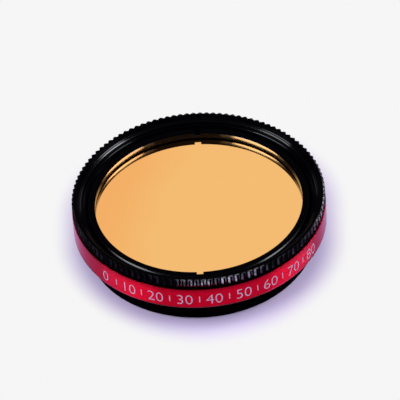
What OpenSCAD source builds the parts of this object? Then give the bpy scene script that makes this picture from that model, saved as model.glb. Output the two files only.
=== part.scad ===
// Round optical filter in a screw-in cell, in millimetres.
// The foot's end face is z = 0, the optical axis is Z, and light enters from above.

/* [Threads] */
// Major diameter of the male thread on the foot and of the female thread in the rim
thread_d = 28.5; // [28.2:0.1:28.9]
// Pitch of both threads, which sets how far their roots lie from their crests
thread_pitch = 0.6; // [0.5:0.05:0.75]

/* [Foot] */
// Length of the foot below the band
foot_h = 3.3; // [2.4:0.1:4]
// Lead-in chamfer at the end of the male thread
foot_lead = 0.35; // [0.15:0.05:0.6]
// Wall of the foot, from the thread's crests to the clear opening
foot_wall = 1.25; // [1:0.05:2]
// Chamfer at the foot end of the clear opening
aperture_lead = 0.3; // [0.1:0.05:0.45]
// Width of the relief groove between the male thread and the band
relief_w = 0.7; // [0.3:0.1:0.9]
// Depth of the relief groove below the thread's crests
relief_depth = 0.45; // [0.35:0.05:0.6]

/* [Band] */
// How far the smooth coloured band stands out past the thread's crests
band_step = 1.6; // [1.2:0.05:2.4]
// Height of the band
band_h = 3.15; // [2.6:0.05:4.5]
// Radius that rounds the band's lower edge
band_round = 0.3; // [0.1:0.05:0.5]
// Chamfer that breaks the band's upper edge
band_break = 0.08; // [0.04:0.02:0.14]

/* [Knurled rim] */
// How far the crests of the knurl lie inside the band
knurl_inset = 0.05; // [0:0.05:0.3]
// Height of the knurl
knurl_h = 1.15; // [0.8:0.05:2.5]
// Number of straight teeth around the knurl
teeth = 116; // [90:1:130]
// Depth of the grooves between the teeth
tooth_depth = 0.3; // [0.15:0.01:0.35]
// Width of the land left on the crest of each tooth
crest_w = 0.12; // [0.06:0.02:0.3]
// Chamfer at both ends of the teeth
knurl_chamfer = 0.05; // [0.02:0.01:0.25]
// Height of the plain neck between the band and the knurl
neck_h = 0.3; // [0.1:0.05:0.6]
// Depth of the neck below the roots of the teeth
neck_depth = 0.08; // [0.02:0.02:0.14]

/* [Mouth] */
// Width of the front land between the roots of the teeth and the 45 degree mouth
mouth_land = 0.25; // [0.1:0.01:0.5]

/* [Filter glass] */
// Thickness of the coated glass
glass_t = 2; // [1:0.1:2.4]
// Bevel on the edges of the glass
glass_bevel = 0.15; // [0.05:0.05:0.3]
// Radial clearance of the glass in its bore
glass_fit = 0.15; // [0.05:0.05:0.25]

/* [Seat] */
// Height of the seat above the band's lower face
seat_rise = 0.55; // [0.4:0.05:1.1]

/* [Retaining ring] */
// Height of the retaining ring
ring_h = 1; // [0.6:0.05:1.2]
// Width of the retaining ring from its bore to its edge
ring_w = 0.95; // [0.7:0.05:1.6]
// Bevel around the ring's upper inner edge
ring_bevel = 0.1; // [0.05:0.05:0.35]
// Chamfer that undercuts the ring's lower inner edge, so that only its outer part presses on the glass
ring_undercut = 0.2; // [0.05:0.05:0.35]
// Chamfer around the ring's upper outer edge
ring_lead = 0.15; // [0.05:0.05:0.25]
// Radial clearance between the ring and the crests of the female thread
ring_fit = 0.03; // [0.02:0.01:0.06]
// Width of the two spanner slots
slot_w = 0.8; // [0.6:0.1:1.6]
// Depth of the spanner slots
slot_depth = 0.45; // [0.3:0.05:0.55]

/* [Hidden] */

black_anodised = "#101012";
red_anodised = "#c3123a";
coating_gold = "#e9b06c";

// A 60 degree thread's crest stands this far inside its root
female_crest_r = thread_d / 2 - 0.5413 * thread_pitch;
male_crest_r = thread_d / 2;
relief_r = male_crest_r - relief_depth;

// Heights, counted up from the end of the foot
band_top = foot_h + band_h;
knurl_z = band_top + neck_h;
rim_top = knurl_z + knurl_h;
seat_z = foot_h + seat_rise;
glass_top = seat_z + glass_t;
ring_top = glass_top + ring_h;

// Radii, each from the thread that it is turned with
aperture_r = male_crest_r - foot_wall;
band_r = male_crest_r + band_step;
knurl_r = band_r - knurl_inset;
root_r = knurl_r - tooth_depth;
neck_r = root_r - neck_depth;
mouth_r = root_r - mouth_land;
mouth_depth = mouth_r - female_crest_r;
glass_r = female_crest_r - glass_fit;
ring_r = female_crest_r - ring_fit;
ring_bore_r = ring_r - ring_w;

// The flanks of two neighbouring grooves would meet here; the blank leaves the crests flat
crest_share = crest_w * teeth / (2 * PI * knurl_r);
tooth_tip_r = knurl_r + tooth_depth * crest_share / (1 - crest_share);

reach = 0.5; // how far a cutting solid passes its face, and one zone of the bar runs into the next

// A section turned about the optical axis
module turned() {
    rotate_extrude($fn = 180) children();
}

// The foot with its lead-in chamfer and its relief groove, run up into the band
module foot() {
    turned() polygon([
        [0, 0],
        [male_crest_r - foot_lead, 0],
        [male_crest_r, foot_lead],
        [male_crest_r, foot_h - relief_w],
        [relief_r, foot_h - relief_w],
        [relief_r, foot_h + reach],
        [0, foot_h + reach],
    ]);
}

// The smooth band: a round lower edge and a broken upper edge
module band() {
    turned() {
        polygon([
            [0, foot_h],
            [band_r - band_round, foot_h],
            [band_r, foot_h + band_round],
            [band_r, band_top - band_break],
            [band_r - band_break, band_top],
            [0, band_top],
        ]);
        translate([band_r - band_round, foot_h + band_round]) circle(band_round, $fn = 48);
    }
}

// The plain neck and the blank of the rim, chamfered at both ends of the teeth
module rim_blank() {
    turned() polygon([
        [0, band_top - reach],
        [neck_r, band_top - reach],
        [neck_r, knurl_z],
        [knurl_r - knurl_chamfer, knurl_z],
        [knurl_r, knurl_z + knurl_chamfer],
        [knurl_r, rim_top - knurl_chamfer],
        [knurl_r - knurl_chamfer, rim_top],
        [0, rim_top],
    ]);
}

// The teeth as a star, one root and one tip for each
module knurl_outline() {
    polygon([
        for (i = [0:2 * teeth - 1])
            let (a = i * 180 / teeth, r = i % 2 == 0 ? root_r : tooth_tip_r)
            [r * cos(a), r * sin(a)]
    ]);
}

// The rim with its teeth
module knurled_rim() {
    intersection() {
        rim_blank();
        translate([0, 0, band_top - 2 * reach])
            linear_extrude(rim_top - band_top + 3 * reach) knurl_outline();
    }
}

// What the cell is bored out to: clear opening, seat, threaded bore and 45 degree mouth
module bore() {
    turned() polygon([
        [0, -reach],
        [aperture_r + aperture_lead + reach, -reach],
        [aperture_r, aperture_lead],
        [aperture_r, seat_z],
        [female_crest_r, seat_z],
        [female_crest_r, rim_top - mouth_depth],
        [mouth_r + reach, rim_top + reach],
        [0, rim_top + reach],
    ]);
}

// The cell, turned from one bar: black foot and rim, coloured band
module cell() {
    difference() {
        union() {
            color(black_anodised) foot();
            color(red_anodised) band();
            color(black_anodised) knurled_rim();
        }
        color(black_anodised) bore();
    }
}

// The coated glass, lying on the seat
module filter_glass() {
    color(coating_gold) turned() polygon([
        [0, seat_z],
        [glass_r - glass_bevel, seat_z],
        [glass_r, seat_z + glass_bevel],
        [glass_r, glass_top - glass_bevel],
        [glass_r - glass_bevel, glass_top],
        [0, glass_top],
    ]);
}

// The ring that holds the glass down, with two slots for a spanner
module retaining_ring() {
    color(black_anodised) difference() {
        turned() polygon([
            [ring_bore_r + ring_undercut, glass_top],
            [ring_r, glass_top],
            [ring_r, ring_top - ring_lead],
            [ring_r - ring_lead, ring_top],
            [ring_bore_r + ring_bevel, ring_top],
            [ring_bore_r, ring_top - ring_bevel],
            [ring_bore_r, glass_top + ring_undercut],
        ]);
        translate([-slot_w / 2, -ring_r - reach, ring_top - slot_depth])
            cube([slot_w, 2 * (ring_r + reach), slot_depth + reach]);
    }
}

cell();
filter_glass();
retaining_ring();
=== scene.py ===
# A screw-in optical filter: knurled black cell with a red band, amber glass and its slotted ring.
import math

import bpy
import bmesh
from mathutils import Matrix, Vector


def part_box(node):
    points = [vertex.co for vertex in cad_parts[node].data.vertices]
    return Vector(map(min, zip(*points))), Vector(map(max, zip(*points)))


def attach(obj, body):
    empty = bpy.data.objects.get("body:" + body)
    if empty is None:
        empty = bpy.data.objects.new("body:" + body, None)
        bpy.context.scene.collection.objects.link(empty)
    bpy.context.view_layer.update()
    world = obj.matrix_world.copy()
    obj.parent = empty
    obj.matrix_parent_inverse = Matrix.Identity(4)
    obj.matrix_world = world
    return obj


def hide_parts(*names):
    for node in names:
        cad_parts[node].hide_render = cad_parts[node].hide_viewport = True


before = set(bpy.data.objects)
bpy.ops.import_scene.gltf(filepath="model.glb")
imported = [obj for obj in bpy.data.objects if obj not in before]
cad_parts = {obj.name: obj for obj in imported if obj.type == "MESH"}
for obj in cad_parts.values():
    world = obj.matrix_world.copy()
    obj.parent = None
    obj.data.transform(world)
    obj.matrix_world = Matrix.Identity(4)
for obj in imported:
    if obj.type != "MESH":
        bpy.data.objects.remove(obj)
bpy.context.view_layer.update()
print("frame loaded:", ", ".join(sorted(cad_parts)))

# Sizes are in millimetres in the dictionaries and become metres when a mesh is made
mm = 0.001
fullTurn = 2 * math.pi

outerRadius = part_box("cell")[1].y / mm
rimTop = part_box("cell")[1].z / mm
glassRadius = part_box("filter_glass")[1].x / mm
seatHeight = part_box("filter_glass")[0].z / mm
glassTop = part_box("filter_glass")[1].z / mm
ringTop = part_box("retaining_ring")[1].z / mm

thread = {
    "outerRadius": 14.25,  # roots of the inner thread, crests of the outer one
    "pitch": 0.6,
    "depth": 0.325,
    "innerFlat": 0.25,  # share of the pitch that lies flat on the smaller radius
    "outerFlat": 0.125,
}
innerThreadRadius = thread["outerRadius"] - thread["depth"]


# Grid meshes: each row is a function of the turn, from 0 to 1, that gives a radius and a height

def plainRow(radius, height):
    return lambda turn: (radius, height)


def roundedSection(corners, steps=3):
    # corners are (radius, height, size of the round); the first and last stay sharp
    section = []
    for i, (r, z, size) in enumerate(corners):
        if size == 0 or i in (0, len(corners) - 1):
            section.append((r, z))
            continue
        here = Vector((r, z))
        toLast = (Vector(corners[i - 1][:2]) - here).normalized()
        toNext = (Vector(corners[i + 1][:2]) - here).normalized()
        half = toLast.angle(toNext) / 2
        start = here + toLast * size / math.tan(half)
        end = here + toNext * size / math.tan(half)
        centre = here + (toLast + toNext).normalized() * size / math.sin(half)
        for k in range(steps + 1):
            blend = start.lerp(end, k / steps) - centre
            point = centre + blend.normalized() * size
            section.append((point.x, point.y))
    return [plainRow(r, z) for r, z in section]


def threadShare(phase):
    # 0 on the larger radius, 1 on the smaller one
    away = abs((phase + 0.5) % 1 - 0.5)
    flank = (1 - thread["innerFlat"] - thread["outerFlat"]) / 2
    return min(max((away - thread["outerFlat"] / 2) / flank, 0), 1)


def threadRadius(height, turn):
    return thread["outerRadius"] - thread["depth"] * threadShare(height / thread["pitch"] - turn)


def threadRows(low, high, limit):
    # the helix climbs one pitch in a turn and is cut off flat at low and high
    pitch = thread["pitch"]
    edge = thread["outerFlat"] / 2
    innerEdge = (1 - thread["innerFlat"]) / 2
    phases = (-innerEdge, -edge, edge, innerEdge)
    first = math.floor(low / pitch) - 2
    last = math.ceil(high / pitch) + 1
    starts = [pitch * (k + phase) for k in range(first, last + 1) for phase in phases]
    starts = [z for z in sorted(starts) if low - pitch - 1e-9 <= z <= high + 1e-9]

    def row(start):
        def place(turn):
            height = min(max(start + pitch * turn, low), high)
            return limit(threadRadius(height, turn), height), height
        return place
    return [row(start) for start in [low - pitch] + starts + [high]]


def gridMesh(name, rows, columns, place, sharpAngle=32):
    # place gives the angle of a column at a radius, and may lower a point of the section
    vertices = []
    for column in columns:
        for row in rows:
            radius, height = row(column["turn"])
            angle, height = place(column, radius, height)
            vertices.append((radius * math.cos(angle) * mm, radius * math.sin(angle) * mm, height * mm))
    count = len(rows)
    faces = []
    for c in range(len(columns) - 1):
        for r in range(count):
            nextRow = (r + 1) % count
            faces.append((c * count + r, (c + 1) * count + r,
                          (c + 1) * count + nextRow, c * count + nextRow))
    mesh = bpy.data.meshes.new(name)
    mesh.from_pydata(vertices, [], faces)
    return closeMesh(name, mesh, sharpAngle)


def closeMesh(name, mesh, sharpAngle):
    bm = bmesh.new()
    bm.from_mesh(mesh)
    bmesh.ops.remove_doubles(bm, verts=bm.verts, dist=0.0002 * mm)
    bmesh.ops.dissolve_degenerate(bm, edges=bm.edges, dist=0.0002 * mm)
    bmesh.ops.recalc_face_normals(bm, faces=bm.faces)
    openEdges = sum(1 for edge in bm.edges if not edge.is_manifold)
    bm.to_mesh(mesh)
    bm.free()
    mesh.shade_smooth()
    mesh.set_sharp_from_angle(angle=math.radians(sharpAngle))
    piece = bpy.data.objects.new(name, mesh)
    bpy.context.scene.collection.objects.link(piece)
    # large faces stay flat beside the small rounds
    weighted = piece.modifiers.new("flatFaces", "WEIGHTED_NORMAL")
    weighted.keep_sharp = True
    print(f"{name}: {len(mesh.polygons)} faces, {openEdges} open edges")
    return piece


def evenColumns(count):
    return [{"turn": i / count} for i in range(count + 1)]


def straightPlace(column, radius, height):
    return column["turn"] * fullTurn, height


def dress(piece, material, slot, *nodes):
    piece.data.materials.clear()
    piece.data.materials.append(material)
    if nodes:
        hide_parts(*nodes)
    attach(piece, "root")


# Shader maths: a Value is one output socket, and sums on it add Math nodes

class Value:
    def __init__(self, shader, socket):
        self.shader = shader
        self.socket = socket

    def math(self, operation, first, second, **more):
        return self.shader.add("ShaderNodeMath", {"operation": operation, **more}, {0: first, 1: second})

    def __add__(self, other):
        return self.math("ADD", self, other)

    __radd__ = __add__

    def __sub__(self, other):
        return self.math("SUBTRACT", self, other)

    def __rsub__(self, other):
        return self.math("SUBTRACT", other, self)

    def __mul__(self, other):
        return self.math("MULTIPLY", self, other)

    __rmul__ = __mul__

    def above(self, limit):
        return self.math("MAXIMUM", self, limit)

    def below(self, limit):
        return self.math("MINIMUM", self, limit)

    def clamped(self):
        return self.math("ADD", self, 0, use_clamp=True)


class Shader:
    def __init__(self, owner):
        # owner is a material or a world
        self.owner = owner
        owner.use_nodes = True
        self.tree = owner.node_tree
        self.tree.nodes.clear()

    def add(self, kind, settings=None, sockets=None, output=0):
        node = self.tree.nodes.new(kind)
        for key, value in (settings or {}).items():
            setattr(node, key, value)
        for key, value in (sockets or {}).items():
            if isinstance(value, Value):
                self.tree.links.new(value.socket, node.inputs[key])
            else:
                node.inputs[key].default_value = value
        return Value(self, node.outputs[output]) if len(node.outputs) else node

    def place(self):
        return self.add("ShaderNodeTexCoord", output="Object")

    def parts(self, vector):
        node = self.add("ShaderNodeSeparateXYZ", None, {0: vector}).socket.node
        return [Value(self, out) for out in node.outputs]

    def across(self, vector):
        # distance from the optical axis
        flat = self.add("ShaderNodeVectorMath", {"operation": "MULTIPLY"}, {0: vector, 1: (1, 1, 0)})
        return self.add("ShaderNodeVectorMath", {"operation": "LENGTH"}, {0: flat}, output="Value")

    def noise(self, vector, scale, detail=2, roughness=0.5):
        return self.add("ShaderNodeTexNoise", None, {
            "Vector": vector, "Scale": scale, "Detail": detail, "Roughness": roughness})

    def ramp(self, value, low, high, start=0, end=1):
        return self.add("ShaderNodeMapRange", {"interpolation_type": "SMOOTHSTEP"}, {
            "Value": value, "From Min": low, "From Max": high, "To Min": start, "To Max": end})

    def mixed(self, factor, first, second):
        return self.add("ShaderNodeMix", {"data_type": "RGBA"}, {0: factor, 6: first, 7: second}, output=2)

    def ridge(self, value, middle, half, blend=0.03):
        # 1 around a middle given in millimetres, fading to 0 at half of its width on both sides
        rise = self.ramp(value, (middle - half - blend) * mm, (middle - half + blend) * mm)
        return rise * self.ramp(value, (middle + half - blend) * mm, (middle + half + blend) * mm, 1, 0)

    def turnedMarks(self, grain):
        # fine rings left by the lathe: noise that changes with radius and height but hardly round the axis
        place = self.place()
        x, _, z = self.parts(place)
        lathe = self.add("ShaderNodeCombineXYZ", None, {
            0: self.across(place) * grain, 1: z * grain, 2: x * 60})
        return self.noise(lathe, 1, 1)

    def bump(self, height, distance):
        return self.add("ShaderNodeBump", None, {"Distance": distance * mm, "Height": height})

    def surface(self, sockets):
        shader = self.add("ShaderNodeBsdfPrincipled", None, sockets)
        self.add("ShaderNodeOutputMaterial", None, {"Surface": shader})
        return self.owner


def colour(red, green, blue):
    return (red, green, blue, 1)


# Cell body: one turned and knurled bar, black outside the band

cell = {
    "teeth": 116,
    "toothDepth": 0.3,
    "knurlInset": 0.05,  # the crests of the knurl lie this far inside the band
    "knurlHeight": 1.15,
    "knurlChamfer": 0.05,
    "footHeight": 3.3,
    "footLead": 0.35,
    "reliefWidth": 0.7,
    "reliefDepth": 0.45,
    "neckDepth": 0.08,  # below the roots of the teeth
    "mouthRadius": 15.25,
    "openingRadius": 13.0,
    "openingLead": 0.3,
    "edgeRound": 0.04,
    "blackColour": (0.0005, 0.0003, 0.0009),
    "roughness": 0.24,
    "specular": 0.005,
    "coatRoughness": 0.11,
    "coatIor": 4,
    # radius, half width and strength of each shinier ring on the mouth
    "brightRings": ((14.34, 0.02, 0.05), (14.70, 0.05, 0.09), (14.87, 0.03, 0.08)),
    # where along X the flanks of the teeth are rubbed bright: start and full, fading and end
    "rubbedFrom": (-4, -1),
    "rubbedTo": (6.5, 8.5),
    "sideFrom": (13.8, 15),
}
knurlBottom = rimTop - cell["knurlHeight"]
crestRadius = outerRadius - cell["knurlInset"]
rootRadius = crestRadius - cell["toothDepth"]
neckRadius = rootRadius - cell["neckDepth"]

# (share of the tooth's pitch, share of its depth) from one root to the next
toothShape = ((0, 0), (0.05, 0.07), (0.40, 0.88), (0.44, 1), (0.56, 1), (0.60, 0.88), (0.95, 0.07), (1, 0))


def toothRadius(turn):
    share = (turn * cell["teeth"]) % 1
    for (a, depthA), (b, depthB) in zip(toothShape, toothShape[1:]):
        if share <= b + 1e-6:
            return rootRadius + cell["toothDepth"] * (depthA + (depthB - depthA) * (share - a) / (b - a))
    return rootRadius


def knurlRows():
    chamfer = cell["knurlChamfer"]
    profile = [  # (height above the knurl's lower end, limit on the radius, how far inside the tooth)
        (0, crestRadius - chamfer, 0.02),
        (0.02, crestRadius - chamfer + 0.02, 0),
        (chamfer, crestRadius, 0),
        (cell["knurlHeight"] - chamfer, crestRadius, 0),
        (cell["knurlHeight"] - 0.02, crestRadius - chamfer + 0.02, 0),
        (cell["knurlHeight"], crestRadius - chamfer, 0.02),
    ]

    def row(height, limit, inset):
        return lambda turn: (min(toothRadius(turn) - inset, limit), knurlBottom + height)
    return [row(*entry) for entry in profile]


def makeCellBody():
    size = cell["edgeRound"]
    relief = thread["outerRadius"] - cell["reliefDepth"]
    footEnd = thread["outerRadius"] - cell["footLead"]
    threadEnd = cell["footHeight"] - cell["reliefWidth"]
    coneFoot = rimTop - (cell["mouthRadius"] - thread["outerRadius"])
    underGlass = roundedSection([
        (innerThreadRadius, seatHeight, 0),
        (cell["openingRadius"], seatHeight, size),
        (cell["openingRadius"], cell["openingLead"], size),
        (cell["openingRadius"] + cell["openingLead"], 0, size),
        (footEnd, 0, 0),
    ])

    def underLead(radius, height):
        return min(radius, footEnd + height)
    maleThread = threadRows(0, threadEnd, underLead)
    underBand = roundedSection([
        (relief, threadEnd, 0),
        (relief, cell["footHeight"], size),
        (neckRadius, cell["footHeight"], 0),
        (neckRadius, knurlBottom, 0),
    ])
    frontLand = roundedSection([
        (rootRadius - size, rimTop, 0),
        (cell["mouthRadius"], rimTop, size),
        (thread["outerRadius"], coneFoot, 0),
    ])

    def insideCone(radius, height):
        return max(radius, cell["mouthRadius"] - (rimTop - height))
    femaleThread = threadRows(seatHeight, coneFoot, insideCone)
    rows = underGlass + maleThread + underBand + knurlRows() + frontLand + femaleThread[::-1]
    columns = [{"turn": (tooth + share) / cell["teeth"]}
               for tooth in range(cell["teeth"]) for share, _ in toothShape[:-1]]
    columns.append({"turn": 1})
    return gridMesh("cellBody", rows, columns, straightPlace)


def makeBlackAnodised():
    shader = Shader(bpy.data.materials.new("blackAnodised"))
    place = shader.place()
    dust = shader.noise(place, 2600, 3, 0.6)
    lathe = shader.turnedMarks(26000)
    # the lathe left a few shinier rings on the mouth, and the flanks of some teeth are rubbed bright
    radius = shader.across(place)
    x = shader.parts(place)[0]
    start, full = cell["rubbedFrom"]
    fading, end = cell["rubbedTo"]
    sideStart, sideFull = cell["sideFrom"]
    glintZone = (shader.ramp(x, start * mm, full * mm, 0.05, 1) * shader.ramp(x, fading * mm, end * mm, 1, 0.12)
              + shader.ramp(x, sideStart * mm, sideFull * mm, 0, 0.5))
    uneven = shader.ramp(shader.noise(place, 700, 1), 0.40, 0.56, 0.2, 1)
    shiny = shader.ridge(radius, rootRadius + cell["toothDepth"] / 2, 0.08) * glintZone * uneven
    for middle, half, strength in cell["brightRings"]:
        shiny = shiny + shader.ridge(radius, middle, half) * strength
    rings = shader.ramp(shader.turnedMarks(5000), 0.40, 0.60, 0.4, 1)
    return shader.surface({
        "Base Color": colour(*cell["blackColour"]),
        "Roughness": cell["roughness"] + shader.ramp(dust, 0.4, 0.8, -0.03, 0.07),
        "Specular IOR Level": cell["specular"],
        "Coat Weight": shiny * rings,
        "Coat Roughness": cell["coatRoughness"],
        "Coat IOR": cell["coatIor"],
        "Normal": shader.bump(lathe + dust * 0.5, 0.0012),
    })


# Red band: the coloured zone of the same bar, a thin sleeve over it here

band = {
    "inset": 0.01,  # leaves room for the marks inside the overall size
    "overlap": 0.02,  # how far the sleeve reaches into the black bar
    "height": 3.15,
    "edgeRound": 0.3,
    "topBreak": 0.08,
    "redColour": (0.56, 0.0025, 0.017),
    "darkToneAndShadeColour": (0.03, 0.0004, 0.002),  # a darker random tone in the red, and painted shade under the knurl and round the lower edge
    "paintedGlintColour": (1.0, 0.12, 0.24),  # painted highlight: a pinker red painted low on the edge where the lamps would glint
    "limbColour": (0.95, 0.68, 0.82),  # what the red turns to where it is seen almost edge on
    "roughness": 0.17,
    # distances from the middle plane between which a highlight is painted on the lower edge and its painted
    # shade is left out: start, full, fading, end
    "glint": (7.2, 8.8, 12.6, 13.2),
    "lowerShade": (0.08, 0.45),  # heights above the lower face between which the painted shade of the lower edge fades
    # heights above the lower face between which the painted highlight fades
    "glintFade": (0.12, 0.40),
    "upperShade": 0.8,  # how far below the upper face the painted shade under the knurl begins
    "sideLift": 0.2,  # how much higher the painted shade of the lower edge reaches at the two sides
    "sideFrom": (12.4, 14),
}
bandBottom = cell["footHeight"]
bandTop = bandBottom + band["height"]
bandRadius = outerRadius - band["inset"]
bandInner = neckRadius - band["overlap"]


def makeBand():
    rows = roundedSection([
        (bandInner, bandBottom, 0),
        (bandRadius, bandBottom, band["edgeRound"]),
        (bandRadius, bandTop, band["topBreak"]),
        (bandInner, bandTop, 0),
    ], steps=6)
    return gridMesh("colouredBand", rows, evenColumns(360), straightPlace, sharpAngle=40)


def makeRedAnodised():
    shader = Shader(bpy.data.materials.new("redAnodised"))
    place = shader.place()
    grain = shader.noise(place, 3200, 3, 0.6)
    lathe = shader.turnedMarks(30000)
    x, _, z = shader.parts(place)
    side = x.above(0) - x.below(0)  # distance from the middle plane

    def fade(height, shade, most):
        low, high = band[shade]
        return shader.ramp(height, (bandBottom + low) * mm, (bandBottom + high) * mm, most, 0)

    # painted shade: the lower edge is darkened and made less metallic to stand for the dark foot it would
    # mirror, and where the lamps would glint on it a painted highlight takes its place
    start, full, fading, end = [distance * mm for distance in band["glint"]]
    glint = shader.ramp(side, start, full) * shader.ramp(side, fading, end, 1, 0)
    sideStart, sideFull = band["sideFrom"]
    lift = shader.ramp(side, sideStart * mm, sideFull * mm, 0, band["sideLift"] * mm)
    edge = fade(z - lift, "lowerShade", 0.9) * (1 - glint)
    # painted highlight: a pinker red low on the edge in the glint zones
    glintZone = fade(z, "glintFade", 0.8) * glint
    # painted shade: the red darkens towards the upper face, under the knurl
    upper = shader.ramp(z, (bandTop - band["upperShade"]) * mm, bandTop * mm, 0, 0.4)
    # share of the dark colour: a random darker tone plus the painted shades
    darkerShare = shader.ramp(grain, 0.35, 0.75, 0, 0.2) + upper + edge
    dyedAndShaded = shader.mixed(darkerShare.clamped(), colour(*band["redColour"]), colour(*band["darkToneAndShadeColour"]))
    return shader.surface({
        "Base Color": shader.mixed(glintZone, dyedAndShaded, colour(*band["paintedGlintColour"])),
        "Metallic": 1 - edge,
        "Specular IOR Level": 0.1,
        "Specular Tint": colour(*band["limbColour"]),
        "Roughness": band["roughness"] + shader.ramp(grain, 0.4, 0.8, -0.02, 0.05),
        "Normal": shader.bump(lathe, 0.0012),
    })


# Marks on the band: plain numbers with a line between each two

marks = {
    "firstAngle": -137.6,
    "step": 13.4,
    "count": 9,
    "capHeight": 1.6,
    "middle": 1.56,  # height of their middle above the band's lower face
    "depth": 0.03,
    "tickWidth": 0.12,
    "tickHeight": 0.9,
    "thinning": 0.03,  # taken off the built-in face's strokes all round
    "slice": 0.25,  # the flat letters are cut this often before they are bent round the band
    "colour": (0.60, 0.46, 0.53),
}


def flatNumber(label):
    curve = bpy.data.curves.new("number", "FONT")
    curve.body = label
    curve.align_x = "CENTER"
    curve.size = marks["capHeight"] / 0.729  # the built-in face's capitals are this share of its size
    curve.extrude = marks["depth"] / 2
    curve.offset = -marks["thinning"]
    curve.resolution_u = 4
    holder = bpy.data.objects.new("number", curve)
    bpy.context.scene.collection.objects.link(holder)
    bpy.context.view_layer.update()
    mesh = bpy.data.meshes.new_from_object(holder.evaluated_get(bpy.context.evaluated_depsgraph_get()))
    bpy.data.objects.remove(holder)
    bpy.data.curves.remove(curve)
    return mesh


def bendRound(bm, vertices, angle):
    # x runs round the band, y up it and z out of it
    for vertex in vertices:
        x, y, z = vertex.co
        radius = outerRadius - marks["depth"] / 2 + z
        turned = math.radians(angle) + x / outerRadius
        vertex.co = (radius * math.cos(turned) * mm, radius * math.sin(turned) * mm,
                     (y + bandBottom + marks["middle"]) * mm)


def makeMarks():
    bm = bmesh.new()
    for i in range(marks["count"]):
        old = set(bm.verts)
        mesh = flatNumber(str(10 * i))
        mesh.transform(Matrix.Translation((0, -marks["capHeight"] / 2, 0)))
        bm.from_mesh(mesh)
        bpy.data.meshes.remove(mesh)
        new = [v for v in bm.verts if v not in old]
        reach = max(abs(v.co.x) for v in new)
        for k in range(-int(reach / marks["slice"]), int(reach / marks["slice"]) + 1):
            new = [v for v in bm.verts if v not in old]
            edges = {e for v in new for e in v.link_edges}
            faces = {f for v in new for f in v.link_faces}
            bmesh.ops.bisect_plane(bm, geom=new + list(edges) + list(faces), dist=1e-6,
                                   plane_co=(k * marks["slice"], 0, 0), plane_no=(1, 0, 0))
        new = [v for v in bm.verts if v not in old]
        bendRound(bm, new, marks["firstAngle"] + i * marks["step"])
        if i < marks["count"] - 1:
            tick = bmesh.ops.create_cube(bm, size=1)["verts"]
            bmesh.ops.scale(bm, verts=tick, vec=(marks["tickWidth"], marks["tickHeight"], marks["depth"]))
            bendRound(bm, tick, marks["firstAngle"] + (i + 0.5) * marks["step"])
    mesh = bpy.data.meshes.new("bandMarks")
    bm.to_mesh(mesh)
    bm.free()
    return closeMesh("bandMarks", mesh, 30)


def makeBrightMarks():
    shader = Shader(bpy.data.materials.new("brightMarks"))
    grain = shader.noise(shader.place(), 9000, 2)
    bright = colour(*marks["colour"])
    dull = colour(*(channel * 0.72 for channel in marks["colour"]))
    return shader.surface({
        "Base Color": shader.mixed(shader.ramp(grain, 0.35, 0.7), bright, dull),
        "Metallic": 0.25,
        "Roughness": 0.5 + shader.ramp(grain, 0.3, 0.7, 0, 0.15),
        "Normal": shader.bump(grain, 0.004),
    })


# Filter glass: a disc with an amber mirror coating

glass = {
    "bevel": 0.15,
    "amberColour": (0.985, 0.545, 0.182),
    "warmColour": (0.97, 0.43, 0.12),
    "warmFrom": (2, 12.5),  # distances towards one side between which the colour turns warmer
    "roughness": 0.03,
    "edgeRound": 0.02,
}


def makeGlass():
    size = glass["edgeRound"]
    rows = roundedSection([
        (0, seatHeight, 0),
        (glassRadius - glass["bevel"], seatHeight, size),
        (glassRadius, seatHeight + glass["bevel"], size),
        (glassRadius, glassTop - glass["bevel"], size),
        (glassRadius - glass["bevel"], glassTop, size),
        (0, glassTop, 0),
    ])
    return gridMesh("coatedGlass", rows, evenColumns(180), straightPlace)


def makeAmberCoating():
    shader = Shader(bpy.data.materials.new("amberCoating"))
    place = shader.place()
    x, y, _ = shader.parts(place)
    cloud = shader.noise(place, 90, 2, 0.5)
    # the colour is a little deeper and warmer towards one side of the disc
    towards = x * -1 + y * 0.25
    start, full = glass["warmFrom"]
    darkerShare = shader.ramp(towards, start * mm, full * mm, 0, 0.75) + shader.ramp(cloud, 0.35, 0.65, -0.06, 0.06)
    amber, warm = colour(*glass["amberColour"]), colour(*glass["warmColour"])
    return shader.surface({
        "Base Color": shader.mixed(darkerShare.clamped(), amber, warm),
        "Metallic": 1,
        "Roughness": glass["roughness"],
    })


# Retaining ring: threaded outside, two spanner slots across its top

ring = {
    "width": 0.95,
    "fit": 0.03,
    "bevel": 0.1,
    "outerChamfer": 0.15,
    "undercut": 0.2,
    "slotWidth": 0.8,
    "slotDepth": 0.45,
    "slotMargin": 0.009,  # share of the turn left beside each slot before the even columns start
    "steps": 86,  # even columns from slot to slot
    "edgeRound": 0.02,
    "blackColour": (0.0005, 0.0003, 0.0007),
    "roughness": 0.2,
    "specular": 0.005,
    "coatRoughness": 0.14,
    "coatIor": 1.9,
}
ringOuter = innerThreadRadius - ring["fit"]
ringInner = ringOuter - ring["width"]


def ringColumns():
    # an across column keeps one x at every radius, so that the slot's walls are flat
    half = ring["slotWidth"] / 2
    margin = ring["slotMargin"]
    columns = []
    for side in (0.25, 0.75):
        columns.append({"turn": side, "across": half, "cut": False})
        columns += [{"turn": side, "across": half - half * k / 2, "cut": True} for k in range(5)]
        columns.append({"turn": side, "across": -half, "cut": False})
        for k in range(ring["steps"] + 1):
            columns.append({"turn": side + margin + (0.5 - 2 * margin) * k / ring["steps"]})
    columns.append({"turn": 1.25, "across": half, "cut": False})
    return columns


def ringPlace(column, radius, height):
    angle = column["turn"] * fullTurn
    if "across" in column:
        angle -= math.asin(column["across"] / radius)
    if column.get("cut"):
        height = min(height, ringTop - ring["slotDepth"])
    return angle, height


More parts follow.
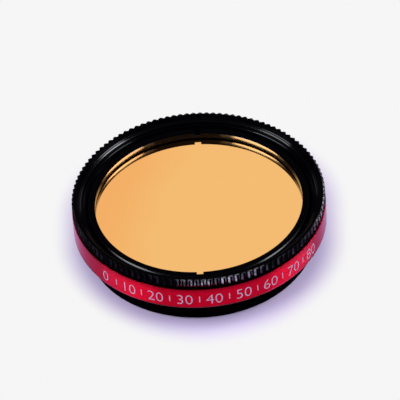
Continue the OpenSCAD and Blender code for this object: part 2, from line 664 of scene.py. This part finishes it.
def makeRing():
    size = ring["edgeRound"]
    chamfer = ring["outerChamfer"]
    rows = roundedSection([
        (ringInner + ring["undercut"], glassTop, 0),
        (ringInner, glassTop + ring["undercut"], size),
        (ringInner, ringTop - ring["bevel"], size),
        (ringInner + ring["bevel"], ringTop, size),
        (ringOuter - chamfer, ringTop, size),
        (ringOuter, ringTop - chamfer, 0),
        (ringOuter, glassTop + chamfer, 0),
        (ringOuter - chamfer, glassTop, 0),
    ])
    return gridMesh("slottedRing", rows, ringColumns(), ringPlace)


def makeRingBlack():
    shader = Shader(bpy.data.materials.new("ringBlack"))
    lathe = shader.turnedMarks(30000)
    place = shader.place()
    grain = shader.noise(place, 3000, 2)
    # the bore and the outer chamfer are cut bright, and the rest is satin
    radius = shader.across(place)
    lead = ringOuter - ring["outerChamfer"]
    bright = (shader.ramp(radius, (ringInner + 0.005) * mm, (ringInner + 0.02) * mm, 1, 0)
              + shader.ramp(radius, (lead - 0.02) * mm, (lead + 0.01) * mm, 0, 0.2))
    return shader.surface({
        "Base Color": colour(*ring["blackColour"]),
        "Roughness": ring["roughness"] + shader.ramp(grain, 0.4, 0.8, -0.02, 0.05),
        "Specular IOR Level": ring["specular"],
        "Coat Weight": bright,
        "Coat Roughness": ring["coatRoughness"],
        "Coat IOR": ring["coatIor"],
        "Normal": shader.bump(lathe, 0.0008),
    })


dress(makeCellBody(), makeBlackAnodised(), "black_anodised", "cell")
dress(makeBand(), makeRedAnodised(), "red_anodised")
dress(makeMarks(), makeBrightMarks(), "engraved_marks")
dress(makeGlass(), makeAmberCoating(), "coated_glass", "filter_glass")
dress(makeRing(), makeRingBlack(), "ring_black", "retaining_ring")
print("pieces dressed")


# Studio: pale floor, two soft lamps, even sky

studio = {
    "floorSize": 3.0,
    "floorColour": (0.80, 0.70, 0.95),
    "floorRoughness": 0.16,
    "floorSpecular": 0.8,
    "matteColour": (0.75, 0.655, 0.865),  # painted shadow tint: the darker lilac the table takes near the foot, as the eye sees it
    "shadowBack": 5.5,  # how far the shadow reaches behind the foot
    "shadowEdge": (14.6, 19),  # radii between which it fades into the plain floor
    "background": 0.92,
    "skyColour": (0.50, 0.46, 0.62),  # what lights the shadows
    "roomColour": (0.07, 0.064, 0.076),  # in front of the object, seen in reflections alone
    "lampDistance": 0.42,
    "lampRadiance": 12.0,
    "lampElevation": 38,
    "lampWidth": 0.35,
    "lampHeight": 0.075,
    "lampTint": (0.96, 0.99, 1.08),
    "wingTurn": 33,  # a dimmer wing past each end of a lamp, where a soft box fades
    "wingWidth": 0.10,
    "wingShare": 0.05,
}


def makeFloor():
    half = studio["floorSize"] / 2
    mesh = bpy.data.meshes.new("floor")
    corners = [(-half, -half, 0), (half, -half, 0), (half, half, 0), (-half, half, 0)]
    mesh.from_pydata(corners, [], [(0, 1, 2, 3)])
    floor = bpy.data.objects.new("floor", mesh)
    bpy.context.scene.collection.objects.link(floor)
    shader = Shader(bpy.data.materials.new("paleFloor"))
    # the shadow round the foot is partly cast by the lamps and partly painted: near the foot the table takes
    # a darker lilac tint, reaching a little behind it and less into the near left corner, and the floor
    # beyond it is plain white
    x, y, _ = shader.parts(shader.place())
    behind = (y - studio["shadowBack"] * mm).above(0)
    spread = shader.add("ShaderNodeCombineXYZ", None, {0: x, 1: behind + y.below(0) * 0.98})
    away = shader.across(spread) + x.below(0) * y.below(0) * 5.5
    camera = shader.add("ShaderNodeLightPath", output="Is Camera Ray")
    # the table is a little glossy where the part mirrors it, and matte to the eye
    glossy = shader.add("ShaderNodeBsdfPrincipled", None, {
        "Base Color": colour(*studio["floorColour"]),
        "Roughness": studio["floorRoughness"],
        "Specular IOR Level": studio["floorSpecular"],
    })
    matte = shader.add("ShaderNodeBsdfPrincipled", None, {
        "Base Color": colour(*studio["matteColour"]), "Roughness": 1, "Specular IOR Level": 0})
    lit = shader.add("ShaderNodeMixShader", None, {0: camera, 1: glossy, 2: matte})
    white = [studio["background"]] * 3
    plain = shader.add("ShaderNodeEmission", None, {"Color": colour(*white), "Strength": 1})
    inner, outer = studio["shadowEdge"]
    far = shader.ramp(away, inner * mm, outer * mm) * camera
    both = shader.add("ShaderNodeMixShader", None, {0: far, 1: lit, 2: plain})
    shader.add("ShaderNodeOutputMaterial", None, {"Surface": both})
    mesh.materials.append(shader.owner)


def makeLamp(name, azimuth, width, radiance):
    height = studio["lampHeight"]
    data = bpy.data.lights.new(name, "AREA")
    data.shape = "RECTANGLE"
    data.size = width
    data.size_y = height
    data.energy = radiance * math.pi * width * height
    data.color = studio["lampTint"]
    lamp = bpy.data.objects.new(name, data)
    a, e = math.radians(azimuth), math.radians(studio["lampElevation"])
    towards = Vector((math.cos(a) * math.cos(e), math.sin(a) * math.cos(e), math.sin(e)))
    lamp.location = towards * studio["lampDistance"]
    lamp.rotation_mode = "QUATERNION"
    lamp.rotation_quaternion = towards.to_track_quat("Z", "Y")
    bpy.context.scene.collection.objects.link(lamp)


def makeSky():
    # white to the eye; in reflections a white wall behind the object and a dimmer room in front of it
    world = bpy.data.worlds.new("sky")
    shader = Shader(world)
    camera = shader.add("ShaderNodeLightPath", output="Is Camera Ray")
    glossy = shader.add("ShaderNodeLightPath", output="Is Glossy Ray")
    y = shader.parts(shader.add("ShaderNodeTexCoord", output="Generated"))[1]
    behind = shader.ramp(y, 0.50, 0.68)
    white = [studio["background"]] * 3
    wall = shader.mixed(behind, colour(*studio["roomColour"]), colour(*white))
    dim = shader.add("ShaderNodeBackground", None, {"Color": colour(*studio["skyColour"])})
    room = shader.add("ShaderNodeBackground", None, {"Color": wall})
    plain = shader.add("ShaderNodeBackground", None, {"Color": colour(*white)})
    lit = shader.add("ShaderNodeMixShader", None, {0: glossy, 1: dim, 2: room})
    seen = shader.add("ShaderNodeMixShader", None, {0: camera, 1: lit, 2: plain})
    shader.add("ShaderNodeOutputWorld", None, {"Surface": seen})
    bpy.context.scene.world = world


makeFloor()
makeSky()
for name, azimuth in (("softboxLeft", 200), ("softboxRight", 0)):
    makeLamp(name, azimuth, studio["lampWidth"], studio["lampRadiance"])
    for wing, side in (("Near", -1), ("Far", 1)):
        makeLamp(name + wing, azimuth + side * studio["wingTurn"], studio["wingWidth"],
                 studio["lampRadiance"] * studio["wingShare"])
print("studio lit")


# Camera: the photograph's long lens, found by fitting the circles of the rim

camera = {
    "lens": 400,
    "sensor": 36,
    "azimuth": 1.9,
    "elevation": 41.65,
    "roll": 4.02,
    "right": -0.182,  # where the camera aims, across and up its own picture, in millimetres
    "up": -2.916,
    "distance": 556,
    "aimHeight": 3.1,
}


def makeCamera():
    e, roll = math.radians(camera["elevation"]), math.radians(camera["roll"])
    turned = Matrix.Rotation(math.radians(camera["azimuth"]), 3, "Z")
    right = turned @ Vector((1, 0, 0))
    up = turned @ Vector((0, math.sin(e), math.cos(e)))
    forward = turned @ Vector((0, math.cos(e), -math.sin(e)))
    place = (-camera["right"] * right - camera["up"] * up - camera["distance"] * forward
             + Vector((0, 0, camera["aimHeight"])))
    turnedRight = right * math.cos(roll) - up * math.sin(roll)
    turnedUp = right * math.sin(roll) + up * math.cos(roll)
    data = bpy.data.cameras.new("camera")
    data.lens = camera["lens"]
    data.sensor_width = camera["sensor"]
    data.clip_start = 0.01
    view = bpy.data.objects.new("camera", data)
    axes = Matrix((turnedRight, turnedUp, -forward)).transposed()
    view.matrix_world = Matrix.Translation(place * mm) @ axes.to_4x4()
    bpy.context.scene.collection.objects.link(view)
    bpy.context.scene.camera = view


makeCamera()
bpy.context.scene.view_settings.view_transform = "Standard"
